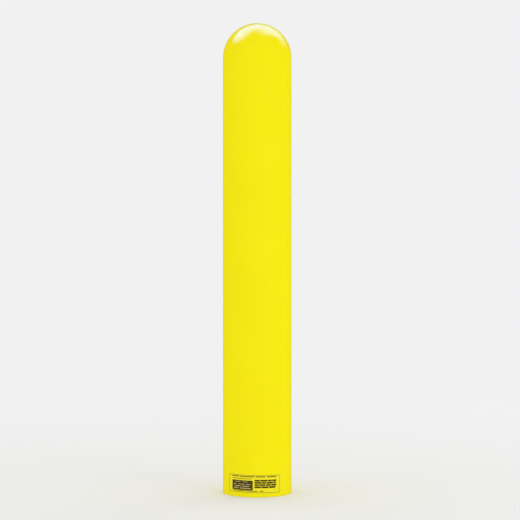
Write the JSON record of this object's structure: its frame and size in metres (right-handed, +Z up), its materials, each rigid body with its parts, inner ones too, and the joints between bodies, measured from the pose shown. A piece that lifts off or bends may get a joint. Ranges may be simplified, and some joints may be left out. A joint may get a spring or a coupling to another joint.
{
  "type": "bollard cover",
  "caption": "Domed plastic sleeve, open at the foot, that slips over a steel pipe bollard to protect it and make it easy to see.",
  "frame": {"origin": "centre of the open foot, on the ground", "axes": "+Z up along the sleeve to the top of the dome; -Y is the front, where the label is"},
  "size_m": [0.193, 0.1937, 1.3208],
  "materials": {
    "yellow_plastic": "moulded, semi-gloss, smooth",
    "label_vinyl": "printed vinyl, satin"
  },
  "bodies": {
    "root": {"cover_sleeve": "yellow_plastic", "label": "label_vinyl"}
  },
  "joints": []
}
